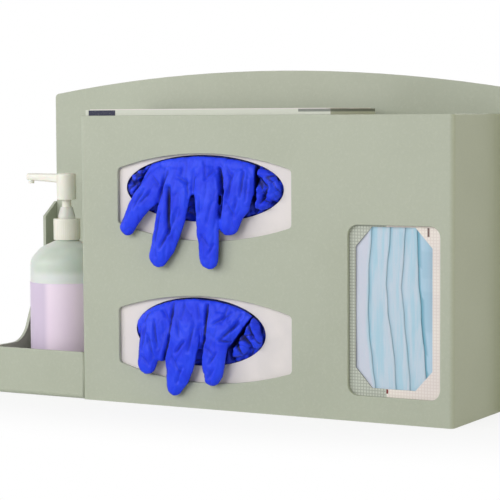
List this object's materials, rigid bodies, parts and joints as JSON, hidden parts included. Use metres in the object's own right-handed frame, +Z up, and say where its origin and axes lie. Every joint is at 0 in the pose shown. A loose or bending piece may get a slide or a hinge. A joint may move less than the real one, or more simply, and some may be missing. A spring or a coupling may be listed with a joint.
{
  "type": "disposable glove dispenser",
  "caption": "Wall-mounted dispenser for boxed disposable gloves and face masks, with a windowed front, an arched back panel and a side shelf for a pump bottle.",
  "frame": {"origin": "on the underside of the box, half way across the whole width and half way between the front face and the wall face", "axes": "+X to the right seen from the front, +Y into the wall, +Z up"},
  "size_m": [0.4696, 0.1144, 0.2912],
  "materials": {
    "stone_plastic": "speckled stone-grey sheet, satin",
    "glove_carton_board": "white coated board with dark blue end bands",
    "blue_nitrile": "smooth nitrile film",
    "mask_carton_board": "white board with a plain grey-green field",
    "mask_fabric": "pale blue non-woven, pleated",
    "frosted_plastic": "translucent, slightly frosted",
    "lilac_label": "plain lilac film label",
    "clear_gel": "clear gel",
    "ivory_plastic": "moulded, soft gloss",
    "soft_gasket": "soft white",
    "natural_plastic": "unpigmented, translucent",
    "steel_ball": "polished",
    "spring_steel": "drawn wire"
  },
  "bodies": {
    "dispenser": {"back_panel": "stone_plastic", "front_shell": "stone_plastic", "box_floor": "stone_plastic", "compartment_divider": "stone_plastic", "bottle_tray": "stone_plastic", "tray_end_wing": "stone_plastic", "glove_carton_lower": "glove_carton_board", "glove_carton_upper": "glove_carton_board", "glove_pack_lower": "blue_nitrile", "glove_pack_upper": "blue_nitrile", "hanging_glove_lower": "blue_nitrile", "hanging_glove_upper": "blue_nitrile", "mask_carton": "mask_carton_board", "front_mask": "mask_fabric", "mask_stack": "mask_fabric", "bottle": "frosted_plastic", "bottle_label": "lilac_label", "sanitizer": "clear_gel"},
    "pump_body": {"pump_housing": "natural_plastic", "neck_gasket": "soft_gasket", "stem_collar": "natural_plastic", "dip_tube": "natural_plastic", "inlet_ball": "steel_ball", "pump_spring": "spring_steel"},
    "closure": {"closure_cap": "ivory_plastic"},
    "plunger": {"pump_piston": "soft_gasket"},
    "pump_head": {"pump_stem": "ivory_plastic", "pump_head": "ivory_plastic"}
  },
  "joints": [
    {"name": "pump_lift", "type": "slide", "parent": "dispenser", "child": "pump_body", "axis": [0, 0, 1], "range_m": [0, 0.00476]},
    {"name": "closure_turn", "type": "hinge", "parent": "pump_body", "child": "closure", "pos_m": [-0.1823, -0.004, 0.147], "axis": [0, 0, 1], "range_deg": [0, 540]},
    {"name": "head_press", "type": "slide", "parent": "pump_body", "child": "plunger", "axis": [0, 0, -1], "range_m": [0, 0.017], "stiffness_N_per_m": 400, "springref_m": -0.001, "deforming": ["pump_spring"]},
    {"name": "head_swivel", "type": "hinge", "parent": "plunger", "child": "pump_head", "pos_m": [-0.1823, -0.004, 0.19], "axis": [0, 0, 1], "continuous": true}
  ],
  "couplings": [
    {"joint": "closure_turn", "follows": "pump_lift", "rad_per_m": 1979}
  ]
}
